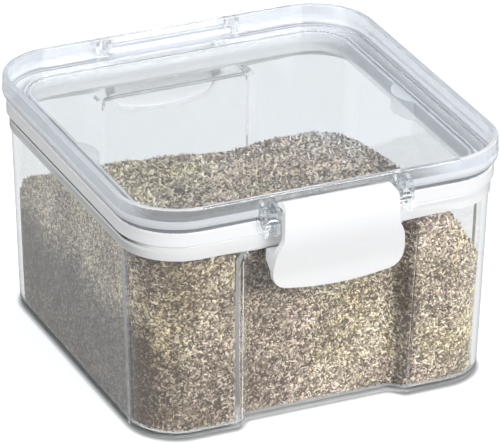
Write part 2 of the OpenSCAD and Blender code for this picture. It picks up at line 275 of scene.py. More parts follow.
def see_through_plastic(name, tint, shade, clear, smooth, rubbed, relief):
    """Moulded plastic that light goes through."""
    material, tree = new_material(name + "_plastic")
    look = {"Base Color": tint, "IOR": PLASTIC_IOR, "Transmission Weight": clear}
    body = moulded_body(tree, look, WALL_SIZES, (smooth, rubbed), relief)
    show(tree, let_lamps_through(tree, body, shade))
    return material


plastics = {name: see_through_plastic(name, *numbers) for name, numbers in PLASTICS.items()}
print("plastics:", list(plastics))

# %% [markdown]
# ## Thin films
# The side walls of the finger recesses stand edge-on, and are so thin that they hardly show. A narrow
# strip where each side wall starts to bend carries a painted white highlight, and the rounded foot of
# the bin is darkened with painted shade. A film suits all three better than a solid wall that bends
# the light: Alpha lets most of the light straight through, and the rest shows the film's own colour.

# %% Materials: thin films
FILM_GLOSS = (0.05, 0.15)

# The tint, and the share of the light that the film holds back
FILMS = {
    "thin_wall": ((0.90, 0.92, 0.94, 1), 0.12),
    # A painted highlight on the strip where each side wall starts to bend
    "pale_bend": ((1.00, 1.00, 1.00, 1), 0.25),
    # Painted shade on the rounded foot
    "smoky_foot": ((0.16, 0.17, 0.18, 1), 0.40),
}


def thin_film(name, tint, veil):
    """A film of plastic that holds back this share of the light."""
    material, tree = new_material(name + "_plastic")
    look = {"Base Color": tint, "IOR": PLASTIC_IOR, "Alpha": veil}
    show(tree, moulded_body(tree, look, WALL_SIZES, FILM_GLOSS).outputs["BSDF"])
    return material


for name, (tint, veil) in FILMS.items():
    plastics[name] = thin_film(name, tint, veil)
print("films:", list(FILMS))

# %% [markdown]
# ## Painted light and shade on the ring
# The ring round the lid is one piece of plastic, and its colour is changed by place to paint in light
# and shade. In front the rim is painted smoky grey under a painted white highlight on its edge, along
# the sides it is painted pale all over, and along the rear it is painted a little greyer again. Along
# the sides the flange under the lid's skirt also gets a painted shadow line, with a painted highlight
# line below. All need to know how far a point lies round the corner. That mask is one group: 0 along
# the front, 1 along the sides and the rear, and a soft change round each front corner. Where the key
# lamp strikes the rim at its right end, the rim is painted pale too, as painted light, so the mask can
# also begin at a line across the front.

# %% Helper: the parts of a place
def split(tree, place):
    """The X, Y and Z of a place."""
    return tuple(add(tree, "ShaderNodeSeparateXYZ", {"Vector": place}).outputs)


# %% Group: side mask
ROUND_CORNER = (-0.004, 0.026)      # of |x| + y, which grows from the front round a corner to the side
RIGHT_END_SOFT = 0.012              # the change at the right end is this soft, on either side of its line
NO_RIGHT_END = 1.0                  # a line that lies far outside the bin

side_mask, given, results = new_group(
    "side mask",
    [("Vector", "Vector", None), ("Right end", "Float", NO_RIGHT_END)],
    [("Mask", "Float")],
)
x, y, z = split(side_mask, given["Vector"])
lead = maths(side_mask, "ADD", maths(side_mask, "ABSOLUTE", x), y)
round_corner = fade(side_mask, lead, *ROUND_CORNER, interpolation_type="SMOOTHSTEP")
past_line = maths(side_mask, "SUBTRACT", x, given["Right end"])
at_right_end = fade(side_mask, past_line, -RIGHT_END_SOFT, RIGHT_END_SOFT)
feed(side_mask, results["Mask"], maths(side_mask, "MAXIMUM", at_right_end, round_corner))
print("group:", side_mask.name)


# %% Helpers: colours by place
def mix_colours(tree, share, first, second, blend_type="MIX"):
    """The first colour, with this share of the second one."""
    inputs = {"Factor": share, "A": first, "B": second}
    return add(tree, "ShaderNodeMix", inputs, data_type="RGBA", blend_type=blend_type).outputs["Result"]


def sides_to_rear(tree, place, sides, rear, begins, ends):
    """One colour, and another along the rear. The change begins and ends at these places along Y."""
    x, y, z = split(tree, place)
    return mix_colours(tree, fade(tree, y, begins, ends), sides, rear)


def colour_ramp(tree, share, stops):
    """The colour at this share of a ramp with these stops: (share, colour)."""
    ramp = add(tree, "ShaderNodeValToRGB", {"Fac": share})
    while len(ramp.color_ramp.elements) < len(stops):
        ramp.color_ramp.elements.new(0.5)
    for element, (position, colour) in zip(ramp.color_ramp.elements, stops):
        element.position = position
        element.color = (*colour, 1)
    return ramp.outputs["Color"]


def keep_front_only(material, place, sides, right_end=NO_RIGHT_END):
    """Keep the material's own colour in front, and give it another along the sides, along the rear and
    past right_end. The change between the two is painted light and shade."""
    tree = material.node_tree
    socket = tree.nodes["Principled BSDF"].inputs["Base Color"]
    mask = add(tree, "ShaderNodeGroup", {"Vector": place, "Right end": right_end}, node_tree=side_mask)
    feed(tree, socket, mix_colours(tree, mask.outputs["Mask"], tuple(socket.default_value), sides))


# %% The rim and its edge
# Painted light and shade: the rim's pale sides, greyer rear and pale right end, and the edge's grey sides
# beside its painted white highlight in front
RIM_SIDES, RIM_REAR = (0.92, 0.945, 0.98, 1), (0.74, 0.77, 0.81, 1)
RIM_REAR_FROM, RIM_REAR_TO = 0.088, 0.098
RIM_RIGHT_END = 0.052
EDGE_SIDES = (0.76, 0.79, 0.84, 1)

rim, edge = plastics["ring_rim"], plastics["ring_edge"]
place = place_on_piece(rim.node_tree)
sides = sides_to_rear(rim.node_tree, place, RIM_SIDES, RIM_REAR, RIM_REAR_FROM, RIM_REAR_TO)
keep_front_only(rim, place, sides, RIM_RIGHT_END)
keep_front_only(edge, place_on_piece(edge.node_tree), EDGE_SIDES)
print("the rim turns grey at the rear from y =", RIM_REAR_FROM)

# %% The flange
FLANGE_FOOT, FLANGE_TOP = 0.0982, 0.1059

# From the flange's foot to its top along the sides: greenish grey painted shade, a painted highlight
# line, and a painted shadow line under the skirt
FLANGE_SIDES_PAINTED_LIGHT = [
    (0.00, (0.74, 0.77, 0.75)), (0.45, (0.62, 0.65, 0.64)), (0.62, (1.0, 1.0, 1.0)),
    (0.72, (1.0, 1.0, 1.0)), (0.75, (0.02, 0.02, 0.02)), (1.00, (0.02, 0.02, 0.02)),
]

tree = plastics["flange"].node_tree
place = place_on_piece(tree)
x, y, z = split(tree, place)
sides = colour_ramp(tree, fade(tree, z, FLANGE_FOOT, FLANGE_TOP), FLANGE_SIDES_PAINTED_LIGHT)
keep_front_only(plastics["flange"], place, sides)
print("the flange's ramp has", len(FLANGE_SIDES_PAINTED_LIGHT), "stops")

# %% [markdown]
# ## Working on shapes
# An operator acts on everything that is selected, and the loaded parts come in selected. So each
# step first clears the selection, then selects only what it needs. Faces and points are chosen by a
# small test on their place, because nothing can be clicked here.

# %% Helpers for selecting
def only(piece):
    """Leave this piece alone selected and active."""
    if bpy.context.object and bpy.context.object.mode != "OBJECT":
        leave_edit()
    bpy.ops.object.select_all(action="DESELECT")
    piece.select_set(True)
    bpy.context.view_layer.objects.active = piece


def edit_all(piece):
    """Go into edit mode with the whole piece selected."""
    only(piece)
    bpy.ops.object.mode_set(mode="EDIT")
    bpy.ops.mesh.select_all(action="SELECT")


def leave_edit():
    """Go back to object mode."""
    bpy.ops.object.mode_set(mode="OBJECT")


def select_some(piece, kind, elements, chosen):
    """Go into edit mode with only those elements of this kind selected for which chosen(element) holds."""
    edit_all(piece)
    bpy.ops.mesh.select_mode(type=kind)
    bpy.ops.mesh.select_all(action="DESELECT")
    leave_edit()
    for element in elements:
        element.select = chosen(element)
    bpy.ops.object.mode_set(mode="EDIT")


def select_faces(piece, chosen):
    """Go into edit mode with only the faces selected for which chosen(centre, normal) holds."""
    select_some(piece, "FACE", piece.data.polygons, lambda face: chosen(face.center, face.normal))


# %% Helpers for copies and finishes
def copy_of(solid, name):
    """A copy of a piece, with its own mesh."""
    piece = solid.copy()
    piece.data = solid.data.copy()
    piece.name = name
    scene.collection.objects.link(piece)
    return piece


def finish_with(piece, *materials):
    """Put these materials in the piece's slots."""
    piece.data.materials.clear()
    for material in materials:
        piece.data.materials.append(material)


def paint_faces(piece, material, chosen):
    """Give one of the piece's materials to the faces for which chosen(centre, normal) holds."""
    select_faces(piece, chosen)
    piece.active_material_index = piece.data.materials.find(material.name)
    bpy.ops.object.material_slot_assign()
    leave_edit()


# %% [markdown]
# ## The skins of the body and the lid
# The thick rings where the lid sits on the body are milkier than the thin walls, because there is
# more plastic there for the light to cross. So each of the two parts needs more than one finish. The
# loaded part is left alone: a copy of it gets the finishes, and stands for it. The copy keeps its
# loose triangles, because they carry normals that already shade its bends smoothly. The faces for
# each finish are picked by height, and by how far out they lie from the middle. From the top of the
# lid down these are the edge of the rim with its painted highlight, the rim with its painted light
# and shade, its shoulder, the groove under it darkened with painted shade, and the milky skirt. On
# the body, painted shade darkens the foot, and a painted highlight marks the strip where each side
# wall starts to bend.

# %% Helper: how far out a point lies
CORNER_CENTRE = 0.0675


def outward(point):
    """How far out a point lies, as the bin's rounded square would measure it."""
    past_x = max(abs(point.x) - CORNER_CENTRE, 0)
    past_y = max(abs(point.y) - CORNER_CENTRE, 0)
    return CORNER_CENTRE + math.hypot(past_x, past_y)


# %% Helpers: faces of the body
WALL_TOP = 0.0975                       # the walls end here, just under the flange
FACES_DOWN, FLAT_BASE = -0.9, -0.97     # a face's normal.z, where it looks down, and where it is flat
FOOT_INSIDE = 0.0850                    # the rounded foot lies farther out than this
BEND_FROM, BEND_TO = -0.0700, -0.0675   # the strip's place along Y
BEND_INSIDE, FACES_SIDE = 0.088, 0.9


def on_foot(centre, normal, height):
    """True on the rounded foot, up to this height."""
    return centre.z < height and normal.z > FLAT_BASE and outward(centre) > FOOT_INSIDE


def starts_bend(centre, normal):
    """True on the narrow strip where each flat side wall starts to bend into its front corner."""
    on_side = abs(centre.x) > BEND_INSIDE and abs(normal.x) > FACES_SIDE and centre.z < WALL_TOP
    return on_side and BEND_FROM < centre.y < BEND_TO


def on_recess_side(centre, normal, inner, outer, turned):
    """True on a recess's upright sides, between inner and outer along X, if turned at least this far."""
    return inner < abs(centre.x) < outer and abs(normal.x) > turned and centre.z < WALL_TOP


# %% Skin of the body
BASE_SKIN = 0.0001                      # the flat base lies below this
FLANGE_INSIDE = 0.0942                  # the flange lies farther out than this
FOOT_TOP, FOOT_LINE = 0.0012, 0.0004    # the foot darkened with painted shade, and the darker painted shade line at its bottom
FRONT_RECESS, REAR_RECESS = -0.0850, 0.0800
FRONT_SIDES = (0.0450, 0.0500, 0.85)    # inner, outer and how far a recess's side is turned
REAR_SIDES = (0.0420, 0.0520, 0.2)

body_skin = copy_of(frame["nodes"]["bin_body"], "bin_skin")
body_finishes = ("clear_body", "frosted_base", "flange", "thin_wall", "pale_bend", "smoky_groove",
                 "smoky_foot")
finish_with(body_skin, *[plastics[name] for name in body_finishes])
body_areas = [
    ("flange", lambda c, n: c.z > WALL_TOP and outward(c) > FLANGE_INSIDE),
    ("frosted_base", lambda c, n: c.z < BASE_SKIN and n.z < FACES_DOWN),
    # The strips where the side walls start to bend, with a painted highlight
    ("pale_bend", starts_bend),
    # The rounded foot, darkened with painted shade
    ("smoky_foot", lambda c, n: on_foot(c, n, FOOT_TOP)),
    # A darker painted shade line along the bottom of the foot
    ("smoky_groove", lambda c, n: on_foot(c, n, FOOT_LINE)),
    ("thin_wall", lambda c, n: c.y < FRONT_RECESS and on_recess_side(c, n, *FRONT_SIDES)),
    ("thin_wall", lambda c, n: c.y > REAR_RECESS and on_recess_side(c, n, *REAR_SIDES)),
]
for name, chosen in body_areas:
    paint_faces(body_skin, plastics[name], chosen)
print("finishes of the body:", body_finishes)

# %% Skin of the lid
NO_LIMIT = 1.0                          # farther than anything on the bin
EAR_FROM, EAR_HALF = 0.0985, 0.040      # the ears stand farther out than this, within this of the middle

# The lowest and highest place up, then the innermost and outermost place out. A later band wins.
LID_BANDS = [
    ("ring_rim", 0.1150, NO_LIMIT, 0.0900, NO_LIMIT),
    ("milky_band", -NO_LIMIT, 0.1136, 0.0930, NO_LIMIT),
    ("ring_edge", 0.1261, NO_LIMIT, 0.0965, NO_LIMIT),
    ("shoulder", 0.1160, 0.1205, 0.0990, NO_LIMIT),
    # The groove under the shoulder, darkened with painted shade
    ("smoky_groove", 0.1134, 0.1162, 0.0965, 0.0992),
]


def is_ear(centre):
    """True on the ears that hold the pins. They stay clear."""
    return abs(centre.y) > EAR_FROM and abs(centre.x) < EAR_HALF


def in_band(centre, low, high, inner, outer):
    """True between these heights, and between these places outward, except on the ears."""
    return low < centre.z < high and inner < outward(centre) < outer and not is_ear(centre)


lid_skin = copy_of(frame["nodes"]["lid"], "lid_skin")
lid_finishes = ("clear_lid", "ring_rim", "milky_band", "smoky_groove", "ring_edge", "shoulder")
finish_with(lid_skin, *[plastics[name] for name in lid_finishes])
for name, *band in LID_BANDS:
    paint_faces(lid_skin, plastics[name], lambda centre, normal: in_band(centre, *band))
print("finishes of the lid:", lid_finishes)

# %% The skins stand for their parts
for piece, node, body, slot in (
    (body_skin, "bin_body", "bin", "clear_body"),
    (lid_skin, "lid", "lid", "clear_lid"),
):
    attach(piece, body)
    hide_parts(node)
    print(piece.name, len(piece.data.polygons), "faces")

# %% [markdown]
# ## Milky silicone
# The seal under the lid is soft silicone. It is milky: some light goes through, and the rest comes
# back as a white haze. Alpha does that. Each of its two faces is a thin veil that lets two thirds
# through, so the seal is half seen through, half white. Along the rear, where it stands against the
# light, it is painted whiter as painted light.

# %% Material: silicone
# The white along the rear is painted light
SILICONE_SIDES, SILICONE_REAR_PAINTED_LIGHT = (0.82, 0.85, 0.885, 1), (1, 1, 1, 1)
SILICONE_REAR_FROM, SILICONE_REAR_TO = 0.070, 0.084

silicone, tree = new_material("milky_silicone")
colour = sides_to_rear(tree, place_on_piece(tree), SILICONE_SIDES, SILICONE_REAR_PAINTED_LIGHT,
                       SILICONE_REAR_FROM, SILICONE_REAR_TO)
look = {"Base Color": colour, "IOR": 1.41, "Alpha": 0.34}
body = moulded_body(tree, look, sizes=(80.0, 500.0), gloss=(0.32, 0.45), relief=0.15)
show(tree, body.outputs["BSDF"])
finish_with(frame["nodes"]["gasket"], silicone)
print("finish of the gasket:", silicone.name)

# %% [markdown]
# ## White plastic
# The latch and the hinge clip are white, fairly glossy plastic with a soft glow under the skin. A
# little subsurface scattering gives that glow.

# %% Material: white plastic
WHITE_LOOK = {"Base Color": (0.98, 0.98, 0.985, 1), "IOR": PLASTIC_IOR, "Subsurface Weight": 0.15,
              "Subsurface Radius": (0.004, 0.004, 0.004), "Subsurface Scale": 1.0}

white_plastic, tree = new_material("white_latch_plastic")
body = moulded_body(tree, WHITE_LOOK, sizes=(35.0, 400.0), gloss=(0.22, 0.30), relief=0.03)
show(tree, body.outputs["BSDF"])
for node in ("front_latch", "rear_hinge_clip"):
    finish_with(frame["nodes"][node], white_plastic)
    print("finish of", node, "is", white_plastic.name)

# %% [markdown]
# ## Steel pins
# Each pin is drawn steel wire. Its finish has fine lines along its length, so the pattern is
# stretched along X, the pin's own direction.

# %% Material: drawn steel
STEEL_LOOK = {"Base Color": (0.62, 0.63, 0.65, 1), "Metallic": 1.0}
ALONG_WIRE = (0.05, 1.0, 1.0)

steel, tree = new_material("drawn_steel")
body = moulded_body(tree, STEEL_LOOK, sizes=(900.0, 2500.0), gloss=(0.18, 0.35),
                    relief=0.1, depth=0.0001, stretch=ALONG_WIRE)
show(tree, body.outputs["BSDF"])
for node in ("front_latch_pin", "rear_hinge_pin"):
    finish_with(frame["nodes"][node], steel)
    print("finish of", node, "is", steel.name)

# %% [markdown]
# ## The colours of the grain
# The bin holds milled grain: husks, cracked kernels and bran. Many bits are dark brown or grey, many
# are tan, and a few are cream, yellow or olive. Each bit carries two numbers. Its tone picks its
# colour from a ramp. Its cast says which part of the heap it lies in, because a poured heap is never
# evenly mixed: some patches are cooler, some more mauve and others more yellow. Both ramps are in
# one group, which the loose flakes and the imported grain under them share.

# %% Group: grain colours
TONES = [
    (0.00, (0.076, 0.057, 0.044)), (0.15, (0.150, 0.117, 0.092)), (0.32, (0.285, 0.236, 0.187)),
    (0.50, (0.440, 0.382, 0.312)), (0.66, (0.585, 0.523, 0.435)), (0.80, (0.735, 0.667, 0.555)),
    (0.90, (0.860, 0.800, 0.680)), (0.95, (0.760, 0.670, 0.380)), (1.00, (0.930, 0.900, 0.840)),
]
CASTS = [
    (0.05, (0.86, 0.94, 1.08)), (0.25, (0.93, 0.93, 0.97)), (0.38, (1.02, 0.91, 0.89)),
    (0.50, (1.0, 0.975, 0.93)), (0.61, (0.98, 0.99, 0.87)), (0.72, (1.07, 1.0, 0.74)),
]

grain_colours, given, results = new_group(
    "grain colours",
    [("Tone", "Float", 0.5), ("Cast", "Float", 0.5)],
    [("Color", "Color")],
)
toned = colour_ramp(grain_colours, given["Tone"], TONES)
cast = colour_ramp(grain_colours, given["Cast"], CASTS)
feed(grain_colours, results["Color"], mix_colours(grain_colours, 1.0, toned, cast, "MULTIPLY"))
print("group:", grain_colours.name, "with", len(TONES), "tones and", len(CASTS), "casts")

# %% Material: loose flakes
GRAIN_IOR = 1.4

flake_finish, tree = new_material("grain_flakes")
tone = add(tree, "ShaderNodeAttribute", attribute_name="tone").outputs["Fac"]
cast = add(tree, "ShaderNodeAttribute", attribute_name="cast").outputs["Fac"]
colours = add(tree, "ShaderNodeGroup", {"Tone": tone, "Cast": cast}, node_tree=grain_colours)
look = {"Base Color": colours.outputs["Color"], "Roughness": 0.7, "IOR": GRAIN_IOR}
show(tree, add(tree, "ShaderNodeBsdfPrincipled", look).outputs["BSDF"])
print("material:", flake_finish.name)

# %% Material: packed grain under the flakes
BITS = {"Scale": 620.0, "Randomness": 1.0}      # about one cell for each bit of grain
IN_SHADE = 0.40                                 # the bits between the flakes lie in the shade

core_finish, tree = new_material("packed_grain")
cells = add(tree, "ShaderNodeTexVoronoi", {"Vector": place_on_piece(tree), **BITS}).outputs
grey = add(tree, "ShaderNodeSeparateColor", {"Color": cells["Color"]}).outputs["Red"]
tone = maths(tree, "MULTIPLY", grey, IN_SHADE)
colours = add(tree, "ShaderNodeGroup", {"Tone": tone}, node_tree=grain_colours)
bumps = {"Strength": 0.8, "Distance": 0.0006, "Height": cells["Distance"]}
relief = add(tree, "ShaderNodeBump", bumps).outputs["Normal"]
look = {"Base Color": colours.outputs["Color"], "Roughness": 0.85, "IOR": GRAIN_IOR, "Normal": relief}
show(tree, add(tree, "ShaderNodeBsdfPrincipled", look).outputs["BSDF"])
print("material:", core_finish.name)

# %% [markdown]
# ## The heap
# The model holds a plain solid for the grain. A heap of loose grain is rounder and lumpier. So a copy
# of that solid is merged, remeshed evenly, drawn in a little from the walls, smoothed over its ridges
# and given lumps on its open top. Its underside is let down again to lie on the bin's floor. The
# flakes go on it afterwards.

# %% Helper: modifiers
def apply_modifier(piece, kind, **settings):
    """Add one modifier with these settings and apply it."""
    only(piece)
    modifier = piece.modifiers.new(kind.lower(), kind)
    for name, value in settings.items():
        setattr(modifier, name, value)
    bpy.ops.object.modifier_apply(modifier=modifier.name)


# %% Heap: an even mesh inside the walls
DRAWN_IN, LET_DOWN = 0.0009, 0.0007
UNDERSIDE_LAYER = 0.004
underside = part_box("grain_fill")[0][2] + UNDERSIDE_LAYER

heap = copy_of(frame["nodes"]["grain_fill"], "grain_heap")
edit_all(heap)
bpy.ops.mesh.remove_doubles(threshold=0.00001)
leave_edit()
apply_modifier(heap, "REMESH", mode="VOXEL", voxel_size=0.0018)
edit_all(heap)
bpy.ops.transform.shrink_fatten(value=-DRAWN_IN)
leave_edit()
select_faces(heap, lambda centre, normal: centre.z < underside)
bpy.ops.transform.translate(value=(0, 0, -LET_DOWN))
leave_edit()
print("heap:", len(heap.data.polygons), "faces")


# %% Heap: lumps on its open top
FACES_UP, OPEN_ABOVE = 0.5, 0.03    # the open top is what looks up and lies above this height


def is_open(place, normal):
    """True on the open top of the heap."""
    return normal.z > FACES_UP and place.z > OPEN_ABOVE


def weigh(name, weight):
    """Give the heap a vertex group of this name. weight(vertex) says how much each point belongs."""
    group = heap.vertex_groups.new(name=name)
    for vertex in heap.data.vertices:
        share = weight(vertex)
        if share > 0:
            group.add([vertex.index], share, "REPLACE")


weigh("open_top", lambda vertex: 1.0 if is_open(vertex.co, vertex.normal) else 0.0)
apply_modifier(heap, "SMOOTH", factor=0.5, iterations=12, vertex_group="open_top")
lumps = bpy.data.textures.new("lumps", "CLOUDS")
lumps.noise_scale = 0.014
apply_modifier(heap, "DISPLACE", texture=lumps, strength=0.003, mid_level=0.45, texture_coords="LOCAL",
               vertex_group="open_top")
print("lumps about", lumps.noise_scale, "m wide")

# %% [markdown]
# A poured heap is never level. It sinks in the middle of its rear edge and at its right end, and it
# is banked up in the rear left corner. Each of these is a soft round patch: its points get a weight
# that fades from the middle, and a Displace modifier moves them up or down by that weight.

# %% Dips and banks
SHALLOW, DEEP = 0.035, 0.060        # a point below the first height stays, one above the second moves fully

# The middle along X and Y, the radius, and how far the middle moves up
PATCHES = [
    (-0.045, 0.020, 0.034, -0.0020), (-0.002, 0.020, 0.040, -0.0032), (0.074, 0.006, 0.036, -0.0070),
    (0.080, 0.034, 0.032, -0.0040), (0.095, -0.085, 0.034, -0.0090), (-0.090, 0.062, 0.030, 0.0070),
]


def in_patch(vertex, x, y, radius):
    """How much this point moves with a patch: 1 in its middle, and 0 outside it or deep down."""
    away = math.hypot(vertex.co.x - x, vertex.co.y - y) / radius
    high = min(max((vertex.co.z - SHALLOW) / (DEEP - SHALLOW), 0), 1)
    return high * (1 + math.cos(math.pi * away)) / 2 if away < 1 else 0


for count, (x, y, radius, rise) in enumerate(PATCHES):
    name = "patch" + str(count)
    weigh(name, lambda vertex: in_patch(vertex, x, y, radius))
    apply_modifier(heap, "DISPLACE", direction="Z", mid_level=0, strength=rise, vertex_group=name)
finish_with(heap, core_finish)
only(heap)
bpy.ops.object.shade_smooth()
print("patches:", len(PATCHES))

# %% [markdown]
# ## One flake
# A flake is a broken husk: a thin shard with a raised ridge. It starts as a low cone with four or
# five corners, is stretched, and its tip is pulled aside, so that no two sides are alike. It has five
# or six faces only, because tens of thousands of them are needed.

# %% Flake shapes
# The corners, length, width and height of each shape, and how far its tip leans, in lengths
SHAPES = {
    "husk": (5, 0.0027, 0.0015, 0.0007, 0.15),
    "sliver": (4, 0.0038, 0.0010, 0.0006, -0.2),
    "crumb": (4, 0.0017, 0.0013, 0.0008, 0.1),
}


def flake(name, corners, length, width, height, lean):
    """A shard of these sizes. Its cone starts 1 m wide and high, so resizing it gives the real size."""
    bpy.ops.object.select_all(action="DESELECT")
    bpy.ops.mesh.primitive_cone_add(vertices=corners, radius1=0.5, radius2=0, depth=1, end_fill_type="NGON")
    shard = bpy.context.object
    shard.name = name
    edit_all(shard)
    bpy.ops.transform.resize(value=(length, width, height), center_override=(0, 0, 0))
    leave_edit()
    select_some(shard, "VERT", shard.data.vertices, lambda point: point.co.z > 0)
    bpy.ops.transform.translate(value=(lean * length, 0, 0))
    leave_edit()
    return shard


shards = bpy.data.collections.new("flake_shapes")
scene.collection.children.link(shards)
for name, sizes in SHAPES.items():
    shard = flake(name, *sizes)
    for old in list(shard.users_collection):
        old.objects.unlink(shard)
    shards.objects.link(shard)
print("flake shapes:", list(SHAPES))

# %% [markdown]
# ## How light each flake is, and of which cast
# Each flake draws its own tone, over a wide, soft noise. Painted shade lowers the tones low along the
# left wall, towards the left in front, and on the edge beside the recess. The cast comes from another
# soft noise, and is cooler at the rear right.

# %% Helper: drawn for each flake
def draw(tree, low, high, seed, kind="FLOAT"):
    """A number or a vector that is drawn for each flake, between low and high."""
    inputs = {"Min": low, "Max": high, "Seed": seed}
    return add(tree, "FunctionNodeRandomValue", inputs, data_type=kind).outputs["Value"]


# %% Helper: tone
MIXING = {"scale": 24.0, "Detail": 2.0, "Roughness": 0.5}
MIXING_RANGE, MIXING_TONE = (0.35, 0.65), (-0.18, 0.15)     # the noise's range, and what it adds

# Where painted shade lowers the tones: each change begins and ends at these places
LEFT_WALL, LOW_DOWN = (-0.083, -0.089), (0.064, 0.047)      # along X, and along Z
FRONT_WALL, TO_LEFT = (-0.068, -0.077), (-0.02, -0.09)      # along Y, and along X
RECESS_EDGE, OFF_EDGE = 0.0455, (0.0026, 0.0048)            # the edge's place along X, and off the edge
LOW_TONE, LEFT_TONE, EDGE_TONE = -0.60, -0.32, -0.36        # the painted shade: what the tones lose low, left and on the edge


def tone_of_flakes(tree, place, seed):
    """How light each flake is, from 0 to 1, by chance and by its place, with painted shade in places."""
    x, y, z = split(tree, place)
    mixing = fade(tree, noise(tree, place, **MIXING), *MIXING_RANGE, *MIXING_TONE)
    toned = maths(tree, "ADD", mixing, draw(tree, 0.0, 1.0, seed))
    low_down = fade(tree, z, *LOW_DOWN, high=LOW_TONE)
    by_left_wall = maths(tree, "MULTIPLY", fade(tree, x, *LEFT_WALL), low_down)
    off_edge = maths(tree, "ABSOLUTE", maths(tree, "SUBTRACT", x, RECESS_EDGE))
    on_edge = fade(tree, off_edge, *OFF_EDGE, low=EDGE_TONE, high=0.0)
    to_left = fade(tree, x, *TO_LEFT, high=LEFT_TONE)
    in_front = maths(tree, "ADD", to_left, on_edge)
    painted_shade_on_tones = maths(tree, "MULTIPLY_ADD", fade(tree, y, *FRONT_WALL), in_front, by_left_wall)
    return maths(tree, "ADD", toned, painted_shade_on_tones, use_clamp=True)


# %% Helper: cast
MIXED_PATCHES = {"scale": 17.0, "Detail": 2.0, "Roughness": 0.5, "Distortion": 0.5}
BY_CHANCE = 0.13
TO_RIGHT, TO_REAR = (-0.01, 0.05), (-0.06, 0.0)             # along X, and along Y
COOLER = -0.34                                              # what the cast loses at the rear right


def cast_of_flakes(tree, place, seed):
    """Which cast each flake has, by its place in the heap and a little by chance."""
    x, y, z = split(tree, place)
    patches = noise(tree, place, **MIXED_PATCHES)
    mixed = maths(tree, "ADD", patches, draw(tree, -BY_CHANCE, BY_CHANCE, seed))
    to_rear = fade(tree, y, *TO_REAR, high=COOLER)
    return maths(tree, "MULTIPLY_ADD", fade(tree, x, *TO_RIGHT), to_rear, mixed)


# %% [markdown]
# ## Scattering the flakes
# Geometry Nodes puts points on the heap's skin, stands a random flake on each, turns it any way in
# the plane of the skin and tips it a little. Tone and cast are kept on each flake as named
# attributes, which the material reads. The result is applied, so what is left is a plain mesh.
# Against the walls the flakes lie flat, as pressed grain does. On the open top they stand more
# freely. Every draw has its own seed, so the heap comes out the same each time.

# %% Helper: the tree that scatters
SMALLEST, LARGEST = (0.6, 0.6, 0.7), (1.3, 1.25, 1.3)       # in lengths, widths and heights of a shape


def geometry(node):
    """The geometry that a node puts out."""
    return node.outputs["Geometry"]


def keep_on_flakes(tree, flakes, name, value):
    """Keep this value on each flake as an attribute of this name."""
    inputs = {"Geometry": flakes, "Name": name, "Value": value}
    kept = add(tree, "GeometryNodeStoreNamedAttribute", inputs, data_type="FLOAT", domain="INSTANCE")
    return geometry(kept)


def scatter_nodes(name, density, tip, lift, grow, seed):
    """A tree that covers a skin with flakes. tip is how far they lean, lift how far they may stand off,
    grow how much larger than their shapes they are."""
    tree = bpy.data.node_groups.new(name, "GeometryNodeTree")
    for direction in ("INPUT", "OUTPUT"):
        tree.interface.new_socket("Geometry", in_out=direction, socket_type="NodeSocketGeometry")
    skin = geometry(tree.nodes.new("NodeGroupInput"))
    points = add(tree, "GeometryNodeDistributePointsOnFaces",
                 {"Mesh": skin, "Density": density, "Seed": seed}).outputs
    lean = draw(tree, (-tip, -tip, -math.pi), (tip, tip, math.pi), seed + 1, "FLOAT_VECTOR")
    turn = add(tree, "FunctionNodeEulerToRotation", {"Euler": lean}).outputs["Rotation"]
    stand = add(tree, "FunctionNodeRotateRotation", {"Rotation": points["Rotation"], "Rotate By": turn},
                rotation_space="LOCAL").outputs["Rotation"]
    smallest = (SMALLEST[0] * grow, SMALLEST[1] * grow, SMALLEST[2])
    largest = (LARGEST[0] * grow, LARGEST[1] * grow, LARGEST[2])
    size = draw(tree, smallest, largest, seed + 2, "FLOAT_VECTOR")
    height = draw(tree, 0.0, lift, seed + 4)
    off = add(tree, "ShaderNodeVectorMath", {0: points["Normal"], "Scale": height}, operation="SCALE")
    raised = add(tree, "GeometryNodeSetPosition",
                 {"Geometry": points["Points"], "Offset": off.outputs["Vector"]})
    pick = add(tree, "GeometryNodeCollectionInfo",
               {"Collection": shards, "Separate Children": True, "Reset Children": True})
    placed = add(tree, "GeometryNodeInstanceOnPoints",
                 {"Points": geometry(raised), "Instance": pick.outputs["Instances"], "Pick Instance": True,
                  "Rotation": stand, "Scale": size}).outputs["Instances"]
    where = add(tree, "GeometryNodeInputPosition").outputs["Position"]
    toned = keep_on_flakes(tree, placed, "tone", tone_of_flakes(tree, where, seed + 3))
    flakes = keep_on_flakes(tree, toned, "cast", cast_of_flakes(tree, where, seed + 5))
    real = geometry(add(tree, "GeometryNodeRealizeInstances", {"Geometry": flakes}))
    dressed = add(tree, "GeometryNodeSetMaterial", {"Geometry": real, "Material": flake_finish})
    add(tree, "NodeGroupOutput", {"Geometry": geometry(dressed)})
    return tree


# %% Helpers: which skin the flakes lie on
FACES_FLOOR = -0.7          # a face's normal.z, where it looks down at the bin's floor


def skin_of(name, chosen):
    """A copy of the heap that keeps only the faces for which chosen(centre, normal) holds."""
    skin = copy_of(heap, name)
    select_faces(skin, lambda centre, normal: not chosen(centre, normal))
    bpy.ops.mesh.delete(type="FACE")
    leave_edit()
    return skin


def is_side(centre, normal):
    """True on what leans against the bin's walls."""
    return not is_open(centre, normal) and normal.z > FACES_FLOOR


SKINS = {
    "flakes_top_left": lambda c, n: is_open(c, n) and c.x < 0,
    "flakes_top_right": lambda c, n: is_open(c, n) and c.x >= 0,
    "flakes_front": lambda c, n: is_side(c, n) and n.y <= -abs(n.x),
    "flakes_left": lambda c, n: is_side(c, n) and n.x < -abs(n.y),
    "flakes_right": lambda c, n: is_side(c, n) and n.x >= abs(n.y),
    "flakes_rear": lambda c, n: is_side(c, n) and n.y > abs(n.x),
    "flakes_floor": lambda c, n: n.z <= FACES_FLOOR,
}

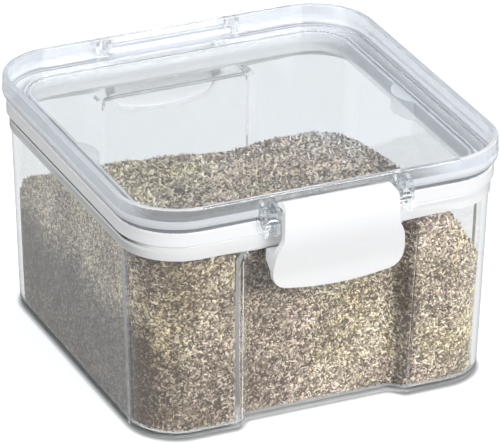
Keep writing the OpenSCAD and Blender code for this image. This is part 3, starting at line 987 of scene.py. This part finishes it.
# %% Scatter
PER_SQUARE_METRE, ON_FLOOR = 1.0e6, 0.3e6
LOOSE = (0.9, 0.0014, 1.15)         # the tip, lift and growth of flakes on the open top
PRESSED = (0.20, 0.0003, 1.05)      # and of those against a wall or the floor

flakes = []
for count, (name, chosen) in enumerate(SKINS.items(), 1):
    piece = skin_of(name, chosen)
    density = ON_FLOOR if name == "flakes_floor" else PER_SQUARE_METRE
    freedom = LOOSE if "top" in name else PRESSED
    tree = scatter_nodes("scatter_" + name, density, *freedom, seed=10 * count)
    apply_modifier(piece, "NODES", node_group=tree)
    flakes.append(piece)
    print(name, len(piece.data.polygons), "faces")
for shard in list(shards.objects):
    bpy.data.objects.remove(shard)
bpy.data.collections.remove(shards)

# %% [markdown]
# ## Who carries what
# Everything that was added rides on the bin, and stands for the plain grain solid.

# %% Riding
for piece in [heap, *flakes]:
    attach(piece, "bin")
    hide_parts("grain_fill")
print("pieces on the bin:", 1 + len(flakes))

# %% [markdown]
# ## The studio
# A plain pale floor and soft light from all round, with one large lamp at the front right, a weaker
# one at the left and one overhead. The background is made white by colour alone: rays from the
# camera, and rays that the clear plastic lets through, see a white world and a floor with a little
# added white, so that the floor keeps the bin's shadow. Ambient occlusion takes that white away again
# in the narrow gap under the bin's foot, which leaves a thin dark line where it stands.

# %% Floor
FLOOR_SIZE, FLOOR_HEIGHT = 12, -0.0004
WHITE_FOR_CAMERA, WHITE_THROUGH_PLASTIC = 0.80, 0.66
CONTACT_WIDTH, CONTACT_DEPTH = 0.0028, 2.2
GLOW, PAPER = (0.94, 0.975, 1.0, 1), (0.36, 0.36, 0.36, 1)

bpy.ops.object.select_all(action="DESELECT")
bpy.ops.mesh.primitive_plane_add(size=FLOOR_SIZE, location=(0, 0, FLOOR_HEIGHT))
floor = bpy.context.object
floor.name = "studio_floor"
only(floor)
bpy.ops.object.transform_apply(location=True, rotation=False, scale=False)

floor_finish, tree = new_material("pale_floor")
rays = add(tree, "ShaderNodeLightPath").outputs
through_plastic = maths(tree, "MULTIPLY", rays["Is Transmission Ray"], WHITE_THROUGH_PLASTIC)
white = maths(tree, "MULTIPLY_ADD", rays["Is Camera Ray"], WHITE_FOR_CAMERA, through_plastic)
contact = add(tree, "ShaderNodeAmbientOcclusion", {"Distance": CONTACT_WIDTH}, samples=8)
deeper = maths(tree, "POWER", contact.outputs["AO"], CONTACT_DEPTH)
strength = maths(tree, "MULTIPLY", white, deeper)
glow = add(tree, "ShaderNodeEmission", {"Color": GLOW, "Strength": strength})
paper = add(tree, "ShaderNodeBsdfDiffuse", {"Color": PAPER})
both = add(tree, "ShaderNodeAddShader", {0: paper.outputs["BSDF"], 1: glow.outputs["Emission"]})
show(tree, both.outputs["Shader"])
finish_with(floor, floor_finish)
print("floor at", FLOOR_HEIGHT)

# %% World
LIGHT, PALE, WHITE = (0.97, 0.985, 1.0, 1), (0.95, 0.98, 1.0, 1), (1, 1, 1, 1)
LIGHT_STRENGTH = 0.5
LOW_SKY, HIGH_SKY = 0.15, 0.8           # how far up a direction points: 0 is level, 1 is straight up
LOW_WHITE, HIGH_WHITE = 0.92, 0.45      # how bright the world looks there, through the plastic


def background(tree, colour, strength):
    """A world of this colour."""
    return add(tree, "ShaderNodeBackground", {"Color": colour, "Strength": strength}).outputs["Background"]


world = bpy.data.worlds.new("studio_world")
scene.world = world
world.use_nodes = True
tree = world.node_tree
tree.nodes.clear()
rays = add(tree, "ShaderNodeLightPath").outputs
x, y, z = split(tree, add(tree, "ShaderNodeTexCoord").outputs["Generated"])
darker_above = fade(tree, z, LOW_SKY, HIGH_SKY, LOW_WHITE, HIGH_WHITE)
light = background(tree, LIGHT, LIGHT_STRENGTH)
seen_through = mix_shaders(tree, rays["Is Transmission Ray"], light, background(tree, PALE, darker_above))
seen = mix_shaders(tree, rays["Is Camera Ray"], seen_through, background(tree, WHITE, 1.0))
add(tree, "ShaderNodeOutputWorld", {"Surface": seen})
print("world:", world.name)

# %% Lamps
# Where each lamp stands and where it points, the side of its square, and its power in watts
LAMPS = {
    "key_lamp": ((0.6, -2.2, 1.5), (0, 0, 0.06), 1.2, 48),
    "side_lamp": ((-2.3, -0.5, 1.7), (0, 0, 0.09), 1.2, 16),
    "top_lamp": ((-0.3, 0.5, 2.2), (0, 0, 0.06), 1.5, 11),
}

for name, (place, target, size, power) in LAMPS.items():
    bpy.ops.object.light_add(type="AREA", location=place)
    lamp = bpy.context.object
    lamp.name = name
    lamp.data.size = size
    lamp.data.energy = power
    lamp.rotation_euler = (Vector(place) - Vector(target)).to_track_quat("Z", "Y").to_euler()
    print(name, power, "W")

# %% [markdown]
# ## Light through many walls
# A ray that looks through the lid crosses many clear walls before it reaches the grain. Each crossing
# is a bounce, so the limits are raised. The view transform is Standard, so that a colour comes out as
# it was written.

# %% Render settings
CROSSINGS, SEE_THROUGH_CROSSINGS, SOFT_BOUNCES = 48, 64, 3

scene.cycles.max_bounces = CROSSINGS
scene.cycles.transmission_bounces = CROSSINGS
scene.cycles.glossy_bounces = CROSSINGS
scene.cycles.transparent_max_bounces = SEE_THROUGH_CROSSINGS
scene.cycles.diffuse_bounces = SOFT_BOUNCES
scene.view_settings.view_transform = "Standard"
print("a ray may cross", CROSSINGS, "walls")
